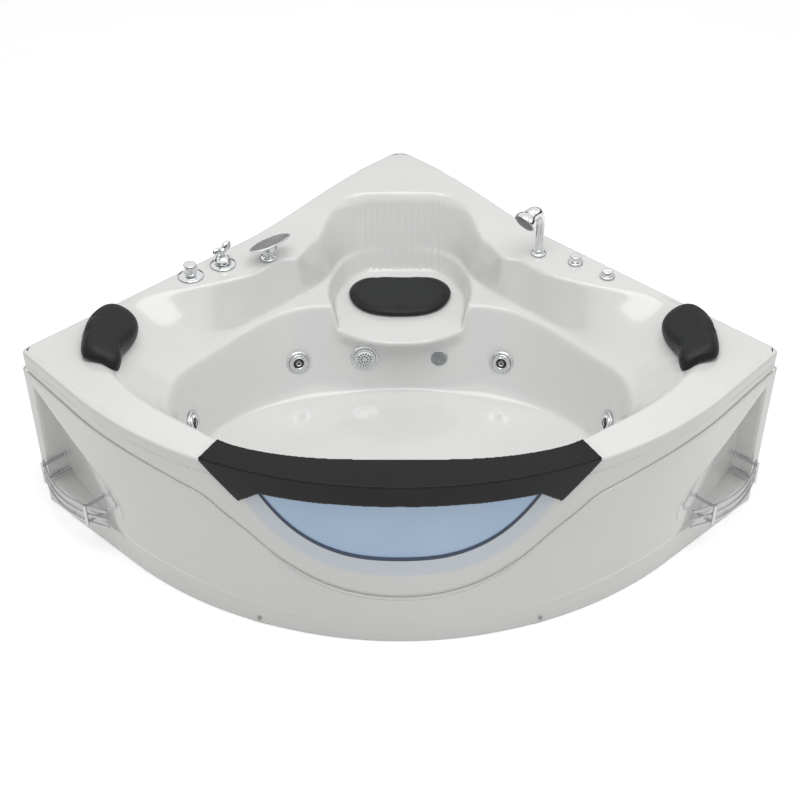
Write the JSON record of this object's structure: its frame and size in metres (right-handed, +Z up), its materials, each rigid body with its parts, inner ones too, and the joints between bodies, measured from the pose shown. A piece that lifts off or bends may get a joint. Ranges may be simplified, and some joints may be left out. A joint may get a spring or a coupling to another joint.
{
  "type": "corner bathtub",
  "caption": "White corner bathtub with water jets, glazed front window, black handrail cap and pillows, corner seat, deck taps, hand shower and side racks.",
  "frame": {"origin": "centre of the overall footprint, on the floor", "axes": "+X to the bather's right as seen from the front, along the widest extent; +Y to the room's corner; +Z up"},
  "size_m": [2.1478, 1.6543, 0.7291],
  "materials": {
    "acrylic": "glossy white acrylic",
    "glass": "clear blue tint",
    "gasket": "matt",
    "cap": "satin black",
    "screw": "polished caps",
    "block": "plain",
    "rack": "polished",
    "cushion": "soft satin skin over foam",
    "chrome": "polished",
    "plastic_grey": "satin",
    "spray_face": "matt",
    "lens": "frosted",
    "pipe": "plain",
    "pump_black": "satin",
    "motor": "satin",
    "brass": "plain",
    "steel": "zinc grey",
    "foot": "satin"
  },
  "bodies": {
    "tub": {"tub_shell": "acrylic", "window_glass": "glass", "window_gasket": "gasket", "handrail_cap": "cap", "front_panel": "acrylic", "panel_screws": "screw", "panel_floor_blocks": "block", "rack_left": "rack", "rack_right": "rack", "head_pillow_left": "cushion", "head_pillow_right": "cushion", "seat_pad": "cushion", "diverter_base": "chrome", "mixer_base": "chrome", "spout_pedestal": "chrome", "spout_plate": "chrome", "handshower_holder": "chrome", "air_switch_bezel": "chrome", "air_regulator_bezel": "chrome", "jet_left_side_body": "chrome", "jet_left_back_body": "chrome", "jet_right_back_body": "chrome", "jet_right_side_body": "chrome", "suction_body": "chrome", "suction_grille": "chrome", "light_body": "chrome", "light_lens": "lens", "drain_body": "chrome", "pump_casing": "pump_black", "pump_motor": "motor", "pressure_pipe": "pipe", "suction_pipe": "pipe", "air_pipe": "pipe", "mixer_valve": "brass", "fill_pipes": "pipe", "support_frame": "steel", "foot_locknuts": "steel"},
    "diverter": {"diverter_knob": "chrome"},
    "mixer": {"mixer_dome": "chrome"},
    "lever": {"mixer_lever": "chrome"},
    "hand_shower": {"handshower_body": "chrome", "handshower_spray_face": "spray_face"},
    "air_switch": {"air_switch_button": "chrome"},
    "air_regulator": {"air_regulator_knob": "chrome"},
    "plug": {"drain_plug": "chrome"},
    "impeller": {"pump_impeller": "plastic_grey"},
    "foot_1": {"foot_1": "foot"},
    "foot_2": {"foot_2": "foot"},
    "foot_3": {"foot_3": "foot"},
    "foot_4": {"foot_4": "foot"},
    "foot_5": {"foot_5": "foot"},
    "jet_left_side_ring": {"jet_left_side_ring": "chrome"},
    "jet_left_side_nozzle": {"jet_left_side_nozzle": "plastic_grey"},
    "jet_left_back_ring": {"jet_left_back_ring": "chrome"},
    "jet_left_back_nozzle": {"jet_left_back_nozzle": "plastic_grey"},
    "jet_right_back_ring": {"jet_right_back_ring": "chrome"},
    "jet_right_back_nozzle": {"jet_right_back_nozzle": "plastic_grey"},
    "jet_right_side_ring": {"jet_right_side_ring": "chrome"},
    "jet_right_side_nozzle": {"jet_right_side_nozzle": "plastic_grey"}
  },
  "joints": [
    {"name": "diverter_turn", "type": "hinge", "parent": "tub", "child": "diverter", "pos_m": [-0.633, 0.14482, 0.565], "axis": [0, 0, 1], "range_deg": [0, 120]},
    {"name": "mixer_turn", "type": "hinge", "parent": "tub", "child": "mixer", "pos_m": [-0.542, 0.20882, 0.565], "axis": [0, 0, 1], "range_deg": [-45, 45]},
    {"name": "lever_tilt", "type": "hinge", "parent": "mixer", "child": "lever", "pos_m": [-0.542, 0.20882, 0.5983], "axis": [0.7071, 0.7071, 0], "range_deg": [0, 12]},
    {"name": "handshower_lift", "type": "slide", "parent": "tub", "child": "hand_shower", "axis": [0, 0, 1], "range_m": [0, 0.2]},
    {"name": "air_switch_press", "type": "slide", "parent": "tub", "child": "air_switch", "axis": [0, 0, -1], "range_m": [0, 0.004], "stiffness_N_per_m": 400},
    {"name": "air_regulator_turn", "type": "hinge", "parent": "tub", "child": "air_regulator", "pos_m": [0.627, 0.14282, 0.565], "axis": [0, 0, 1], "range_deg": [0, 270]},
    {"name": "plug_lift", "type": "slide", "parent": "tub", "child": "plug", "axis": [0, 0, 1], "range_m": [0, 0.008]},
    {"name": "impeller_spin", "type": "hinge", "parent": "tub", "child": "impeller", "pos_m": [-0.12, 0.41582, 0.255], "axis": [1, 0, 0], "continuous": true},
    {"name": "jet_left_side_ring_turn", "type": "hinge", "parent": "tub", "child": "jet_left_side_ring", "pos_m": [-0.61613, -0.18098, 0.255], "axis": [0.9579, -0.1759, 0.227], "range_deg": [0, 90]},
    {"name": "jet_left_side_nozzle_swivel", "type": "hinge", "parent": "jet_left_side_ring", "child": "jet_left_side_nozzle", "pos_m": [-0.61613, -0.18098, 0.255], "axis": [0.1806, 0.9836, 0], "range_deg": [-15, 15]},
    {"name": "jet_left_back_ring_turn", "type": "hinge", "parent": "tub", "child": "jet_left_back_ring", "pos_m": [-0.32, 0.11919, 0.255], "axis": [0.2774, -0.9373, 0.2108], "range_deg": [0, 90]},
    {"name": "jet_left_back_nozzle_swivel", "type": "hinge", "parent": "jet_left_back_ring", "child": "jet_left_back_nozzle", "pos_m": [-0.32, 0.11919, 0.255], "axis": [0.9589, 0.2838, 0], "range_deg": [-15, 15]},
    {"name": "jet_right_back_ring_turn", "type": "hinge", "parent": "tub", "child": "jet_right_back_ring", "pos_m": [0.32, 0.11922, 0.255], "axis": [-0.2751, -0.938, 0.2107], "range_deg": [0, 90]},
    {"name": "jet_right_back_nozzle_swivel", "type": "hinge", "parent": "jet_right_back_ring", "child": "jet_right_back_nozzle", "pos_m": [0.32, 0.11922, 0.255], "axis": [0.9596, -0.2814, 0], "range_deg": [-15, 15]},
    {"name": "jet_right_side_ring_turn", "type": "hinge", "parent": "tub", "child": "jet_right_side_ring", "pos_m": [0.61613, -0.18098, 0.255], "axis": [-0.9579, -0.1759, 0.227], "range_deg": [0, 90]},
    {"name": "jet_right_side_nozzle_swivel", "type": "hinge", "parent": "jet_right_side_ring", "child": "jet_right_side_nozzle", "pos_m": [0.61613, -0.18098, 0.255], "axis": [0.1806, -0.9836, 0], "range_deg": [-15, 15]},
    {"name": "foot_1_turn", "type": "hinge", "parent": "tub", "child": "foot_1", "pos_m": [-0.45291, -0.00218, 0.065], "axis": [0, 0, 1], "continuous": true},
    {"name": "foot_2_turn", "type": "hinge", "parent": "tub", "child": "foot_2", "pos_m": [0.45291, -0.00218, 0.065], "axis": [0, 0, 1], "continuous": true},
    {"name": "foot_3_turn", "type": "hinge", "parent": "tub", "child": "foot_3", "pos_m": [-0.45291, -0.44718, 0.065], "axis": [0, 0, 1], "continuous": true},
    {"name": "foot_4_turn", "type": "hinge", "parent": "tub", "child": "foot_4", "pos_m": [0.45291, -0.44718, 0.065], "axis": [0, 0, 1], "continuous": true},
    {"name": "foot_5_turn", "type": "hinge", "parent": "tub", "child": "foot_5", "pos_m": [0, 0.60082, 0.065], "axis": [0, 0, 1], "continuous": true}
  ]
}
